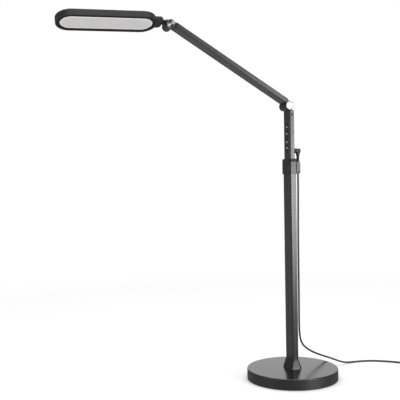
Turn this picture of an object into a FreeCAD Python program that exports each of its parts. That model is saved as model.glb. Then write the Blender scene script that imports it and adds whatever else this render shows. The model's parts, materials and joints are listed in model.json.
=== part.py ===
"""Adjustable arm floor lamp, one STEP file for each piece.

Millimetres, +Z up. The origin is the centre of the base's underside, and the arm and the head
point to -X. The hinge axes lie along Y. Pieces that turn with a hinge are built in that hinge's
own frame, in which x runs along the piece away from the hinge, y points to -Y of the lamp, and z
is up, and they are then placed.
"""

import FreeCAD, Part
import math
import os

V = FreeCAD.Vector
X, Y, Z = V(1, 0, 0), V(0, 1, 0), V(0, 0, 1)
TINY = 0.01  # tells one edge's place from another's

# Driving dimensions.
BASE_D = 260.0
BASE_H = 30.5
COVER_WALL = 1.6
PAD_D = 236.0
PAD_H = 2.0
WEIGHT_D = 252.0
WEIGHT_H = 15.0
FOOT_H = 24.0
LOWER_W, LOWER_T = 46.5, 19.0  # the lower mast's section, across Y and across X
LOWER_CAVITY_W, LOWER_CAVITY_T = 41.1, 15.1
LOWER_CHAMFER, CAVITY_CHAMFER = 3.0, 2.4
LOWER_TOP = 626.0
UPPER_W, UPPER_T = 40.5, 14.5  # the upper mast and the arm share this section
UPPER_WALL = 1.5
UPPER_CHAMFER, UPPER_BORE_CHAMFER = 2.4, 1.5
UPPER_BOTTOM, UPPER_TOP = 165.0, 766.0
COLLAR_W, COLLAR_T = 52.0, 25.5
COLLAR_BOTTOM, COLLAR_TOP = 587.0, 631.0
ELBOW = V(-7.0, 0, 781.0)
ARM_LENGTH = 405.0  # between the two hinge axes
ARM_PITCH = 31.2  # degrees above the horizontal
HEAD_PITCH = -1.6
NECK_RISE = 8.5  # the head's swivel axis lies this far above the tilt axis
HEAD_ROLL = 18.0  # the diffuser turns towards -Y
HINGE_R = 12.0
KNUCKLE_W = 16.0  # the middle of each hinge
CHEEK_IN, CHEEK_OUT = 9.3, 19.0  # each cheek of a fork, from the middle of the hinge
CAP_R, CAP_T = 12.5, 4.5
AXLE_R = 4.0
RUNNING = 0.05  # radial clearance of every running fit
GAP = 0.3  # between pieces that move past each other
FORK_CROTCH = 12.6
TUBE_INSET = 18.0  # from a hinge axis to the end of the arm's profile
HEAD_L, HEAD_W, HEAD_H = 267.5, 80.0, 18.0
HEAD_START = 35.0  # from the tilt axis to the head's near end
HEAD_WALL = 1.8
WINDOW_L, WINDOW_W = 245.0, 59.0  # the opening that the diffuser fills
BRACKET_W, BRACKET_T = 45.0, 8.0
CORD_D = 5.5
GLAND = V(0, 9.0, 654.0)  # where the gland's axis crosses the mast
CORD_X = 31.2  # the cord leaves the boot at this distance behind the mast's axis
BOOT_TOP, BOOT_BOTTOM = 641.0, 612.0
LEVER_Y = (-11.0, -1.0)
LEVER_PIVOT = V(22.5, 0, 592.3)
COIL_CENTRE = V(405.0, -70.0, 0)
COIL_INNER, COIL_OUTER, COIL_H = 23.0, 35.5, 11.6
PLUG_AT = V(400.0, -114.0, 7.0)  # where the cord meets the plug

# The cord's free route, hand laid from the boot down to the floor and out to the coil.
DROP_ROUTE = [
    (31.2, 9.0, 612.0),
    (31.2, 9.0, 560.0),
    (30.2, 9.0, 488.0),
    (29.2, 9.0, 412.0),
    (28.8, 9.0, 338.0),
    (28.8, 9.0, 272.0),
    (28.7, 9.0, 212.0),
    (28.2, 9.0, 165.0),
]
FLOOR_ROUTE = [
    (28.2, 9.0, 165.0),
    (29.0, 9.6, 128.0),
    (35.0, 12.4, 98.0),
    (53.5, 18.8, 78.5),
    (80.0, 28.0, 62.0),
    (112.0, 39.5, 47.5),
    (148.0, 52.5, 33.0),
    (184.0, 65.5, 17.5),
    (215.0, 75.5, 5.0),
    (249.0, 80.5, 2.9),
    (283.0, 78.0, 2.9),
    (316.0, 67.0, 2.9),
    (346.0, 47.0, 2.9),
    (373.0, 21.0, 2.9),
    (397.0, -7.0, 2.9),
    (417.0, -33.0, 2.9),
    (431.0, -52.0, 2.9),
]
TAIL_ROUTE = [
    (436.3, -78.4, 8.7),
    (431.5, -96.0, 8.4),
    (419.0, -109.5, 7.6),
    (400.0, -114.0, 7.0),
]


def chamfered(width, depth, chamfer):
    """The corners of a rectangle with cut corners, centred on the origin."""
    w, d = width / 2, depth / 2
    return [
        (-w + chamfer, -d),
        (w - chamfer, -d),
        (w, -d + chamfer),
        (w, d - chamfer),
        (w - chamfer, d),
        (-w + chamfer, d),
        (-w, d - chamfer),
        (-w, -d + chamfer),
    ]


def prism(outline, at, across, up, along):
    """An outline of pairs in the plane of across and up at a point, pushed out along a vector."""
    points = [at + across * p + up * q for p, q in outline]
    wire = Part.makePolygon(points + points[:1])
    return Part.Face(wire).extrude(along)


def post(thickness, width, chamfer, z0, z1):
    """An upright bar: thickness across X and width across Y."""
    return prism(chamfered(thickness, width, chamfer), V(0, 0, z0), X, Y, Z * (z1 - z0))


def beam(width, thickness, chamfer, x0, x1, z_mid):
    """A bar that lies along x: width across y and thickness across z."""
    return prism(chamfered(width, thickness, chamfer), V(x0, 0, z_mid), Y, Z, X * (x1 - x0))


def block(x0, x1, y0, y1, z0, z1):
    return Part.makeBox(x1 - x0, y1 - y0, z1 - z0, V(x0, y0, z0))


def rod(radius, length, at, along):
    return Part.makeCylinder(radius, length, at, along)


def ring(outer, inner, length, at, along):
    return rod(outer, length, at, along).cut(rod(inner, length, at, along))


def hexagon(across_flats, height, at, axis, across, up):
    radius = across_flats / math.sqrt(3)
    angles = [math.radians(60 * k) for k in range(6)]
    outline = [(radius * math.cos(a), radius * math.sin(a)) for a in angles]
    return prism(outline, at, across, up, axis * height)


def stadium(length, width, x0, z0, z1):
    """A long plate with round ends: it starts at x0 and lies between z0 and z1."""
    r = width / 2
    near, far = x0 + r, x0 + length - r
    edges = [
        Part.LineSegment(V(near, -r, z0), V(far, -r, z0)).toShape(),
        Part.Arc(V(far, -r, z0), V(far + r, 0, z0), V(far, r, z0)).toShape(),
        Part.LineSegment(V(far, r, z0), V(near, r, z0)).toShape(),
        Part.Arc(V(near, r, z0), V(near - r, 0, z0), V(near, -r, z0)).toShape(),
    ]
    return Part.Face(Part.Wire(edges)).extrude(Z * (z1 - z0))


def edges_at(shape, z):
    """The edges of a shape that lie level at height z."""
    boxes = [(e, e.BoundBox) for e in shape.Edges]
    return [e for e, box in boxes if abs(box.ZMin - z) < TINY and abs(box.ZMax - z) < TINY]


def hinge_frame(origin, pitch, roll=0.0):
    """The frame of a piece that points to -X and is pitched up, then rolled about its own length."""
    turn = FreeCAD.Rotation(Y, pitch) * FreeCAD.Rotation(Z, 180) * FreeCAD.Rotation(X, roll)
    return FreeCAD.Placement(origin, turn)


def placed(shape, frame):
    shape = shape.copy()
    shape.transformShape(frame.toMatrix())
    return shape


def save(node, *solids):
    """Write one node. Several solids stay separate solids of one compound."""
    shape = solids[0] if len(solids) == 1 else Part.makeCompound(list(solids))
    for solid in shape.Solids:
        if not solid.isValid() or solid.Volume < 0.05:
            print("CHECK", node, solid.isValid(), round(solid.Volume, 2))
    shape.exportStep(f"parts/{node}.step")


ARM = hinge_frame(ELBOW, ARM_PITCH)
TILT = ARM.multVec(V(ARM_LENGTH, 0, 0))
NECK = hinge_frame(TILT, HEAD_PITCH)
SWIVEL = NECK.multVec(V(0, 0, NECK_RISE))
HEAD = hinge_frame(SWIVEL, HEAD_PITCH, HEAD_ROLL)


# ---- base ----

BOLT_R = 5.0
BOLT_HOLE_R = 5.5
BOLT_HEAD_TOP = 8.7
WASHER_TOP = 10.7
BOLT_END = 60.0
COVER_TOP_INSIDE = BASE_H - COVER_WALL


def base_pad():
    return rod(PAD_D / 2, PAD_H, V(0, 0, 0), Z)


def base_weight():
    disc = rod(WEIGHT_D / 2, WEIGHT_H - PAD_H, V(0, 0, PAD_H), Z)
    disc = disc.makeChamfer(1.5, edges_at(disc, WEIGHT_H))
    boss = rod(36.0, COVER_TOP_INSIDE - PAD_H, V(0, 0, PAD_H), Z)
    counterbore = rod(13.0, WASHER_TOP - PAD_H, V(0, 0, PAD_H), Z)
    hole = rod(BOLT_HOLE_R, BASE_H, V(0, 0, 0), Z)
    return disc.fuse(boss).cut(counterbore).cut(hole).removeSplitter()


def base_cover():
    lower_edge = 1.2
    outside = rod(BASE_D / 2, BASE_H - lower_edge, V(0, 0, lower_edge), Z)
    outside = outside.makeFillet(2.6, edges_at(outside, BASE_H))
    inside = rod(BASE_D / 2 - COVER_WALL, COVER_TOP_INSIDE - lower_edge, V(0, 0, lower_edge), Z)
    inside = inside.makeFillet(1.0, edges_at(inside, COVER_TOP_INSIDE))
    return outside.cut(inside).cut(rod(BOLT_HOLE_R, BASE_H, V(0, 0, 5), Z))


def base_bolt():
    head = hexagon(16.0, BOLT_HEAD_TOP - PAD_H - GAP, V(0, 0, PAD_H + GAP), Z, X, Y)
    shank = rod(BOLT_R, BOLT_END - BOLT_HEAD_TOP, V(0, 0, BOLT_HEAD_TOP), Z)
    return head.fuse(shank)


def base_washer():
    return ring(12.0, BOLT_R + 0.3, WASHER_TOP - BOLT_HEAD_TOP, V(0, 0, BOLT_HEAD_TOP), Z)


# ---- foot and lower mast ----

MAST_BOTTOM = 34.0
WINDOW_Z = (588.0, 596.2)  # the clamp pad's window through the collar and the lower mast
WINDOW_Y = (-10.3, -1.7)
GROOVE_W, GROOVE_DEPTH = 5.0, 0.6


def foot_socket():
    """A cut pyramid with flat corners, and a pocket that holds the mast."""
    sections = []
    for z, thickness, width, chamfer in ((BASE_H, 39.0, 54.0, 7.0), (BASE_H + FOOT_H, 21.6, 48.9, 3.6)):
        points = [V(p, q, z) for p, q in chamfered(thickness, width, chamfer)]
        sections.append(Part.makePolygon(points + points[:1]))
    body = Part.makeLoft(sections, True, True)
    pocket = post(LOWER_T, LOWER_W, LOWER_CHAMFER, MAST_BOTTOM, BASE_H + FOOT_H + 1)
    return body.cut(pocket).cut(rod(BOLT_HOLE_R, 20, V(0, 0, BASE_H - 1), Z))


def mast_base_block():
    body = post(LOWER_CAVITY_T, LOWER_CAVITY_W, CAVITY_CHAMFER, MAST_BOTTOM, 84.0)
    return body.cut(rod(BOLT_R + RUNNING, BOLT_END + 2 - MAST_BOTTOM, V(0, 0, MAST_BOTTOM), Z))


def lower_mast():
    """The outer profile, with a shallow groove down each narrow side and the clamp pad's window."""
    body = post(LOWER_T, LOWER_W, LOWER_CHAMFER, MAST_BOTTOM, LOWER_TOP)
    body = body.cut(post(LOWER_CAVITY_T, LOWER_CAVITY_W, CAVITY_CHAMFER, MAST_BOTTOM, LOWER_TOP))
    groove_foot = BASE_H + FOOT_H + 3
    for side in (-1, 1):
        face = side * LOWER_W / 2
        y0, y1 = sorted((face - side * GROOVE_DEPTH, face + side))
        body = body.cut(block(-GROOVE_W / 2, GROOVE_W / 2, y0, y1, groove_foot, LOWER_TOP))
    body = body.cut(block(0, LOWER_T, *WINDOW_Y, *WINDOW_Z))
    for z in SCREW_Z:
        body = body.cut(rod(SCREW_R, 10, V(0, 15, z), Y))
    return body


# ---- collar and its clamp ----

EAR_Y = (-14.3, 2.3)
EAR_X = 27.0
EAR_TOP = 621.0
PIN_R = 2.0
SCREW_R = 1.6
SCREW_Z = (596.0, 618.0)
LINER_T, LINER_W = UPPER_T + 3.1, UPPER_W + 3.2
LEVER_EYE_R = 5.0
PAD_FIT = 0.15


def collar_body():
    """The collar on top of the lower mast, narrower at its top, with two ears for the lever."""
    taper_from = COLLAR_TOP - 9
    body = post(COLLAR_T, COLLAR_W, 4.8, COLLAR_BOTTOM, taper_from)
    sections = []
    for z, thickness, width, chamfer in (
        (taper_from, COLLAR_T, COLLAR_W, 4.8),
        (COLLAR_TOP - 1.2, COLLAR_T - 1.4, COLLAR_W - 2.6, 4.2),
        (COLLAR_TOP, COLLAR_T - 3.4, COLLAR_W - 4.6, 3.6),
    ):
        points = [V(p, q, z) for p, q in chamfered(thickness, width, chamfer)]
        sections.append(Part.makePolygon(points + points[:1]))
    body = body.fuse(Part.makeLoft(sections, True, True)).removeSplitter()
    ears = block(COLLAR_T / 2 - 1, EAR_X, *EAR_Y, COLLAR_BOTTOM, EAR_TOP)
    outer = [e for e in ears.Edges if e.BoundBox.XMin > EAR_X - TINY and e.BoundBox.YLength > 5]
    ears = ears.makeChamfer(4.0, outer)
    body = body.fuse(ears)
    slot = (LEVER_Y[0] - GAP, LEVER_Y[1] + GAP)
    body = body.cut(block(COLLAR_T / 2, EAR_X + 1, *slot, COLLAR_BOTTOM - 1, EAR_TOP + 1))
    body = body.cut(post(LOWER_T, LOWER_W, LOWER_CHAMFER, COLLAR_BOTTOM, LOWER_TOP))
    body = body.cut(post(LINER_T, LINER_W, 2.8, LOWER_TOP, COLLAR_TOP))
    body = body.cut(block(LOWER_T / 2 - 1, COLLAR_T / 2 + 1, *WINDOW_Y, *WINDOW_Z))
    body = body.cut(rod(PIN_R, 40, LEVER_PIVOT + Y * -20, Y))
    for z in SCREW_Z:
        body = body.cut(rod(SCREW_R, 10, V(0, LOWER_W / 2 - 1, z), Y))
        body = body.cut(rod(3.2, 10, V(0, COLLAR_W / 2 - 1.6, z), Y))
    return body


def collar_liner():
    """A plastic ring between the collar's mouth and the sliding mast."""
    outside = post(LINER_T, LINER_W, 2.8, LOWER_TOP, COLLAR_TOP)
    inside = post(UPPER_T + 2 * GAP, UPPER_W + 2 * GAP, UPPER_CHAMFER, LOWER_TOP, COLLAR_TOP)
    return outside.cut(inside)


def clamp_pad():
    """The pad that the lever's eye presses on the sliding mast. The lever widens above its eye."""
    low, high = UPPER_T / 2 + GAP, LEVER_PIVOT.x - LEVER_EYE_R - 3 * GAP
    (y0, y1), (z0, z1) = WINDOW_Y, WINDOW_Z
    return block(low, high, y0 + PAD_FIT, y1 - PAD_FIT, z0 + PAD_FIT, z1 - PAD_FIT)


def lever_pin():
    pin = rod(PIN_R, EAR_Y[1] - EAR_Y[0], LEVER_PIVOT + Y * EAR_Y[0], Y)
    head = rod(PIN_R + 1.0, 0.9, LEVER_PIVOT + Y * (EAR_Y[0] - 0.9), Y)
    return pin.fuse(head)


def collar_screws():
    screws = []
    for z in SCREW_Z:
        shank = rod(SCREW_R, COLLAR_W / 2 - LOWER_CAVITY_W / 2 - 1.8, V(0, LOWER_CAVITY_W / 2 + 0.2, z), Y)
        head = ring(3.1, 1.2, 1.6, V(0, COLLAR_W / 2 - 1.6, z), Y)
        head = head.fuse(rod(3.1, 0.5, V(0, COLLAR_W / 2 - 1.6, z), Y))
        screws.append(shank.fuse(head).removeSplitter())
    return screws


def clamp_lever():
    """A flip lever: a round eye on the pin, wide above it and narrow at its free end."""
    p = LEVER_PIVOT
    outline = [
        V(p.x - 4.9, 0, p.z + 1.0),
        V(p.x - 6.3, 0, p.z + 9.0),
        V(p.x - 3.2, 0, p.z + 25.0),
        V(p.x + 0.6, 0, p.z + 34.5),
        V(p.x + 3.0, 0, p.z + 35.5),
        V(p.x + 4.6, 0, p.z + 33.0),
        V(p.x + 6.2, 0, p.z + 16.0),
        V(p.x + 5.0, 0, p.z),
    ]
    width = LEVER_Y[1] - LEVER_Y[0]
    shift = Y * LEVER_Y[0]
    points = [v + shift for v in outline]
    body = Part.Face(Part.makePolygon(points + points[:1])).extrude(Y * width)
    body = body.fuse(rod(LEVER_EYE_R, width, p + shift, Y)).removeSplitter()
    long_edges = [e for e in body.Edges if e.BoundBox.YLength < TINY and e.BoundBox.ZMin > p.z + 8.5]
    body = body.makeChamfer(0.8, long_edges)
    return body.cut(rod(PIN_R + RUNNING, 40, p + Y * -20, Y))


# ---- upper mast ----

PANEL_W, PANEL_Z = 14.0, (648.0, 736.0)
MARK_Z = (721.5, 702.3, 678.5, 662.0)
KNUCKLE_SCREW_Z = 756.0
GLAND_R = 5.0
STUB_END = 37.8  # the gland's end face
PLUG_DEPTH = 26.0  # how far each fitting reaches into its profile
BORE_T, BORE_W = UPPER_T - 2 * UPPER_WALL, UPPER_W - 2 * UPPER_WALL


def upper_mast():
    body = post(UPPER_T, UPPER_W, UPPER_CHAMFER, UPPER_BOTTOM, UPPER_TOP)
    body = body.cut(post(BORE_T, BORE_W, UPPER_BORE_CHAMFER, UPPER_BOTTOM, UPPER_TOP))
    body = body.cut(block(-UPPER_T, -1, -PANEL_W / 2, PANEL_W / 2, *PANEL_Z))
    body = body.cut(rod(GLAND_R + RUNNING, 12, GLAND, X))
    for side in (-1, 1):
        body = body.cut(rod(SCREW_R, 6, V(0, side * 16, KNUCKLE_SCREW_Z), Y * side))
    return body


def mast_guide():
    """The plastic shoe on the sliding mast's lower end."""
    shoe = post(UPPER_T + 0.2, UPPER_W + 0.2, UPPER_CHAMFER, UPPER_BOTTOM - 14, UPPER_BOTTOM)
    spigot = post(BORE_T, BORE_W, UPPER_BORE_CHAMFER, UPPER_BOTTOM, UPPER_BOTTOM + 20)
    return shoe.fuse(spigot).cut(rod(4.0, 60, V(0, 0, UPPER_BOTTOM - 20), Z))


def touch_panel():
    return block(-UPPER_T / 2, -BORE_T / 2, -PANEL_W / 2, PANEL_W / 2, *PANEL_Z)


def touch_marks():
    """Four printed marks: three dots, and a ring in the third place."""
    marks = []
    for k, z in enumerate(MARK_Z):
        at = V(-UPPER_T / 2 - 0.15, 0, z)
        marks.append(ring(2.6, 1.6, 0.15, at, X) if k == 2 else rod(2.0, 0.15, at, X))
    return marks


def touch_board():
    return block(-BORE_T / 2, -BORE_T / 2 + 1.2, -6, 6, PANEL_Z[0] + 2, PANEL_Z[1] - 2)


def cord_gland():
    """A plate on the mast's rear face, a stub that stands out of it, and a socket for the boot."""
    plate = block(UPPER_T / 2, UPPER_T / 2 + 2.2, GLAND.y - 8, GLAND.y + 8, GLAND.z - 15, GLAND.z + 17)
    plate = plate.makeChamfer(2.0, [e for e in plate.Edges if e.BoundBox.XLength > 2])
    stub = rod(7.0, STUB_END - UPPER_T / 2 - 2, GLAND + X * (UPPER_T / 2 + 2), X)
    stub = stub.makeFillet(1.6, [e for e in stub.Edges if e.BoundBox.XMin > STUB_END - TINY])
    waist = ring(8, 6.2, 5.0, GLAND + X * 17.0, X)
    socket = rod(5.6, GLAND.z - BOOT_TOP, V(CORD_X, GLAND.y, BOOT_TOP), Z)
    thread = rod(GLAND_R, 8.0, GLAND + X * 0.5, X)
    body = plate.fuse([stub, thread]).cut(waist).fuse(socket).removeSplitter()
    return body.cut(rod(3.2, 6.0, V(CORD_X, GLAND.y, BOOT_TOP), Z))


def gland_nut():
    nut = hexagon(15.0, 4.0, GLAND + X * (BORE_T / 2 - 4.0), X, Z, Y)
    return nut.cut(rod(GLAND_R + RUNNING, 20, GLAND + X * -5, X))


def cord_boot():
    """The bend relief: a collar in the gland's socket, then a ringed taper down to the cord."""
    top = V(CORD_X, GLAND.y, BOOT_TOP)
    taper = Part.makeCone(3.3, 4.4, BOOT_TOP - BOOT_BOTTOM, V(CORD_X, GLAND.y, BOOT_BOTTOM), Z)
    for k in range(5):
        z = BOOT_BOTTOM + 4.5 + 4.2 * k
        taper = taper.cut(ring(8.0, 3.05 + 0.16 * k, 1.4, V(CORD_X, GLAND.y, z), Z))
    spigot = rod(3.2, 6.0, top, Z)
    return taper.fuse(spigot).removeSplitter()


def elbow_knuckle():
    """A plug in the mast, a flange over its end, and the middle of the elbow hinge."""
    half = KNUCKLE_W / 2
    plug = post(BORE_T, BORE_W, UPPER_BORE_CHAMFER, UPPER_TOP - PLUG_DEPTH, UPPER_TOP)
    flange = post(UPPER_T, UPPER_W, UPPER_CHAMFER, UPPER_TOP, UPPER_TOP + 2)
    neck = block(-UPPER_T / 2, UPPER_T / 2 - 1.5, -half, half, UPPER_TOP, ELBOW.z)
    barrel = rod(HINGE_R, KNUCKLE_W, ELBOW - Y * half, Y)
    body = plug.fuse([flange, neck, barrel]).removeSplitter()
    body = body.cut(rod(AXLE_R + RUNNING, 40, ELBOW - Y * 20, Y))
    for side in (-1, 1):
        body = body.cut(rod(SCREW_R, 12, V(0, side * (BORE_W / 2 - 8), KNUCKLE_SCREW_Z), Y * side))
    return body


def knuckle_screws():
    screws = []
    tip, face = BORE_W / 2 - 7, UPPER_W / 2
    for side in (-1, 1):
        shank = rod(SCREW_R, face - tip, V(0, side * tip, KNUCKLE_SCREW_Z), Y * side)
        head = rod(2.9, 0.9, V(0, side * face, KNUCKLE_SCREW_Z), Y * side)
        recess = hexagon(2.5, 2.0, V(0, side * (face - 0.6), KNUCKLE_SCREW_Z), Y * side, X, Z)
        screws.append(shank.fuse(head).cut(recess).removeSplitter())
    return screws


def mast_lead():
    """The lead from the gland up to the knuckle, beside the touch board."""
    return rod(1.5, UPPER_TOP - PLUG_DEPTH - (GLAND.z - 4), V(-2.0, GLAND.y + 1.5, GLAND.z - 4), Z)


# ---- hinges, shared by the elbow and the head's tilt ----


def fork(x, towards_arm):
    """Two cheeks on the hinge axis at x, joined to a plug in the arm on the side towards_arm."""
    cheeks = []
    s = towards_arm
    for side in (-1, 1):
        y = CHEEK_IN if side > 0 else -CHEEK_OUT
        cheek = rod(HINGE_R, CHEEK_OUT - CHEEK_IN, V(x, y, 0), Y)
        x0, x1 = sorted((x, x + s * (FORK_CROTCH + 1)))
        cheek = cheek.fuse(block(x0, x1, y, y + CHEEK_OUT - CHEEK_IN, 0, 11.6))
        cheeks.append(cheek)
    x0, x1 = sorted((x + s * FORK_CROTCH, x + s * TUBE_INSET))
    bridge = beam(UPPER_W, UPPER_T, UPPER_CHAMFER, x0, x1, UPPER_T / 2)
    x0, x1 = sorted((x + s * TUBE_INSET, x + s * (TUBE_INSET + PLUG_DEPTH)))
    plug = beam(BORE_W, BORE_T, UPPER_BORE_CHAMFER, x0, x1, UPPER_T / 2)
    body = bridge.fuse(cheeks + [plug]).removeSplitter()
    return body.cut(rod(AXLE_R, 60, V(x, -30, 0), Y))


def arm_lower_fork():
    return fork(0.0, 1)


def arm_upper_fork():
    return fork(ARM_LENGTH, -1)


def axle(x):
    """A headed axle: the head lies under the near cap and the thread ends under the far cap."""
    shank = rod(AXLE_R, 2 * CHEEK_OUT + 2.4, V(x, -CHEEK_OUT - 2.4, 0), Y)
    head = rod(7.0, 2.0, V(x, CHEEK_OUT, 0), Y)
    return shank.fuse(head).removeSplitter()


def axle_nut(x):
    nut = hexagon(12.0, 2.2, V(x, -CHEEK_OUT - 2.2, 0), Y, X, Z)
    return nut.cut(rod(AXLE_R, 20, V(x, -30, 0), Y))


def hinge_cap(x, side):
    """A turned cap with a bevelled rim and a shallow ring in its face, hollow over the axle's end."""
    face = CHEEK_OUT + CAP_T
    cap = rod(CAP_R, CAP_T, V(x, side * CHEEK_OUT, 0), Y * side)
    rim = [e for e in cap.Edges if abs(abs(e.BoundBox.YMin) - face) < TINY and e.BoundBox.YLength < TINY]
    cap = cap.makeChamfer(0.9, rim)
    cap = cap.cut(rod(8.0, 2.6, V(x, side * CHEEK_OUT, 0), Y * side))
    return cap.cut(ring(10.2, 9.6, 1.0, V(x, side * (face - 0.35), 0), Y * side))


def friction_washers(x):
    washers = []
    for side in (-1, 1):
        y = KNUCKLE_W / 2 + GAP if side > 0 else -CHEEK_IN
        washers.append(ring(11.0, AXLE_R + 0.1, CHEEK_IN - KNUCKLE_W / 2 - GAP, V(x, y, 0), Y))
    return washers


# ---- arm ----


def arm_tube():
    """The arm's profile, with a shallow groove down each narrow side."""
    x0, x1 = TUBE_INSET, ARM_LENGTH - TUBE_INSET
    body = beam(UPPER_W, UPPER_T, UPPER_CHAMFER, x0, x1, UPPER_T / 2)
    body = body.cut(beam(BORE_W, BORE_T, UPPER_BORE_CHAMFER, x0, x1, UPPER_T / 2))
    for y in (-9.5, 9.5):
        body = body.cut(block(x0, x1, y - 0.9, y + 0.9, -1, 0.45))
    return body


def arm_lead():
    x0 = TUBE_INSET + PLUG_DEPTH
    return rod(1.5, ARM_LENGTH - 2 * x0, V(x0, 4.0, UPPER_T / 2), X)


# ---- neck ----

NOSE_END = 15.5
NOSE_R = 7.9  # inside the friction washers
SHAFT_R = 4.0
WASHER_T = 1.0


def neck_knuckle():
    """The middle of the tilt hinge, with a raised nose that the head's shaft turns in."""
    half = KNUCKLE_W / 2
    barrel = rod(HINGE_R, KNUCKLE_W, V(0, -half, 0), Y)
    nose = rod(NOSE_R, NOSE_END, Z * NECK_RISE, X)
    nose = nose.makeFillet(3.0, [e for e in nose.Edges if e.BoundBox.XMax < TINY])
    body = barrel.fuse(nose)
    body = body.cut(block(6.0, 12.2, -6.6, 6.6, NECK_RISE - 6.4, 20))
    body = body.cut(rod(SHAFT_R + RUNNING, 20, V(6.0, 0, NECK_RISE), X))
    return body.cut(rod(AXLE_R + RUNNING, 40, V(0, -20, 0), Y)).removeSplitter()


def swivel_washer():
    return ring(NOSE_R, SHAFT_R + 0.1, WASHER_T, V(NOSE_END, 0, NECK_RISE), X)


# ---- head ----

TOP, BOTTOM = HEAD_H / 2, -HEAD_H / 2
BRACKET_START = NOSE_END + WASHER_T + GAP
LEDGE_Z = BOTTOM + 2.0  # the diffuser's flange rests above this height of the bezel
TONGUE_END = HEAD_START + 34.0
TONGUE_Z = (1.5, TOP - 2.0)
GUIDE_W = WINDOW_W - 3


def neck_bracket():
    """The plate that carries the head, its swivel shaft, and a tongue that reaches into the head."""
    outline = [
        (BRACKET_START + 2.4, -BRACKET_W / 2 + 6),
        (BRACKET_START + 8.4, -BRACKET_W / 2),
        (HEAD_START + 12, -BRACKET_W / 2),
        (HEAD_START + 12, BRACKET_W / 2),
        (BRACKET_START + 8.4, BRACKET_W / 2),
        (BRACKET_START + 2.4, BRACKET_W / 2 - 6),
    ]
    plate = prism(outline, V(0, 0, -BRACKET_T / 2), X, Y, Z * BRACKET_T)
    plate = plate.cut(stadium(HEAD_L, HEAD_W, HEAD_START, -20, 20))
    boss = rod(7.0, 5.0, V(BRACKET_START, 0, 0), X)
    shaft = rod(SHAFT_R, BRACKET_START - 6.6, V(6.6, 0, 0), X)
    tongue = block(HEAD_START - 6, TONGUE_END, -15, 15, *TONGUE_Z)
    link = block(HEAD_START - 6, HEAD_START + HEAD_WALL, -15, 15, -BRACKET_T / 2, TONGUE_Z[1] - 2.5)
    link = link.cut(block(HEAD_START, TONGUE_END, -20, 20, -20, TONGUE_Z[0]))
    step = block(BRACKET_START + 2.4, HEAD_START, -15, 15, 0, BRACKET_T / 2)
    tongue = tongue.cut(block(0, HEAD_START, -20, 20, BRACKET_T / 2, 20))
    body = plate.fuse([boss, shaft, tongue, link, step]).removeSplitter()
    for x, y in head_screw_places():
        body = body.cut(rod(SCREW_R, 20, V(x, y, 0), Z))
    return body


def head_screw_places():
    return [(HEAD_START + 24, -8.0), (HEAD_START + 24, 8.0)]


def swivel_nut():
    nut = hexagon(10.0, 4.8, V(7.2, 0, 0), X, Y, Z)
    return nut.cut(rod(SHAFT_R, 20, V(0, 0, 0), X))


def head_shell():
    """The top shell: a long shallow tray with round ends, open below."""
    outside = stadium(HEAD_L, HEAD_W, HEAD_START, BOTTOM, TOP)
    outside = outside.makeFillet(2.4, edges_at(outside, TOP))
    inner_l, inner_w = HEAD_L - 2 * HEAD_WALL, HEAD_W - 2 * HEAD_WALL
    inside = stadium(inner_l, inner_w, HEAD_START + HEAD_WALL, BOTTOM, TOP - 2.0)
    body = outside.cut(inside)
    body = body.cut(block(HEAD_START - 1, HEAD_START + 12, -15, 15, *TONGUE_Z))
    for x, y in head_screw_places():
        body = body.cut(rod(SCREW_R, 1.2, V(x, y, TOP - 2.0), Z))
    return body


def head_bezel():
    """The ring round the light: its face slopes in to the window, over a ledge for the diffuser."""
    outer_l, outer_w = HEAD_L - 2 * HEAD_WALL, HEAD_W - 2 * HEAD_WALL
    start = HEAD_START + HEAD_WALL
    body = stadium(outer_l, outer_w, start, BOTTOM, BOTTOM + 3.6)
    inset = (HEAD_L - WINDOW_L) / 2
    body = body.cut(stadium(WINDOW_L, WINDOW_W, HEAD_START + inset, BOTTOM, LEDGE_Z))
    flange = stadium(WINDOW_L + 5, WINDOW_W + 5, HEAD_START + inset - 2.5, LEDGE_Z, BOTTOM + 4)
    body = body.cut(flange)
    reach = WINDOW_W / 2 + 1
    lip = [e for e in edges_at(body, BOTTOM) if -reach < e.BoundBox.YMin and e.BoundBox.YMax < reach]
    return body.makeChamfer(1.0, lip)


def diffuser():
    """The opal panel: a flange on the bezel's ledge and a raised middle with a bevelled border."""
    inset = (HEAD_L - WINDOW_L) / 2
    gap = 0.9
    flange = stadium(WINDOW_L + 4.4, WINDOW_W + 4.4, HEAD_START + inset - 2.2, LEDGE_Z, LEDGE_Z + 1.2)
    panel = stadium(WINDOW_L - 2 * gap, WINDOW_W - 2 * gap, HEAD_START + inset + gap, BOTTOM + 0.7, LEDGE_Z)
    panel = panel.makeChamfer(1.1, edges_at(panel, BOTTOM + 0.7))
    return flange.fuse(panel).removeSplitter()


def light_guide():
    z = LEDGE_Z + 1.2
    length = WINDOW_L - 3
    return stadium(length, GUIDE_W, HEAD_START + (HEAD_L - length) / 2, z, z + 3.0)


def reflector():
    z = LEDGE_Z + 4.2
    return stadium(HEAD_L - 14, HEAD_W - 14, HEAD_START + 7, z, z + 0.4)


LED_X = (HEAD_START + 47, HEAD_START + HEAD_L - 47)
LED_COUNT = 24


def led_board():
    """Two long strips, one along each side of the light guide."""
    z = LEDGE_Z + 1.25
    y0, y1 = GUIDE_W / 2 + 1.3, GUIDE_W / 2 + 2.3
    return [block(*LED_X, *sorted((s * y0, s * y1)), z, z + 2.9) for s in (-1, 1)]


def led_chips():
    chips = []
    pitch = (LED_X[1] - LED_X[0]) / LED_COUNT
    y0, y1 = GUIDE_W / 2 + 0.4, GUIDE_W / 2 + 1.3
    z = LEDGE_Z + 1.9
    for s in (-1, 1):
        for k in range(LED_COUNT):
            x = LED_X[0] + (k + 0.5) * pitch
            chips.append(block(x - 1.4, x + 1.4, *sorted((s * y0, s * y1)), z, z + 1.4))
    return chips


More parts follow.
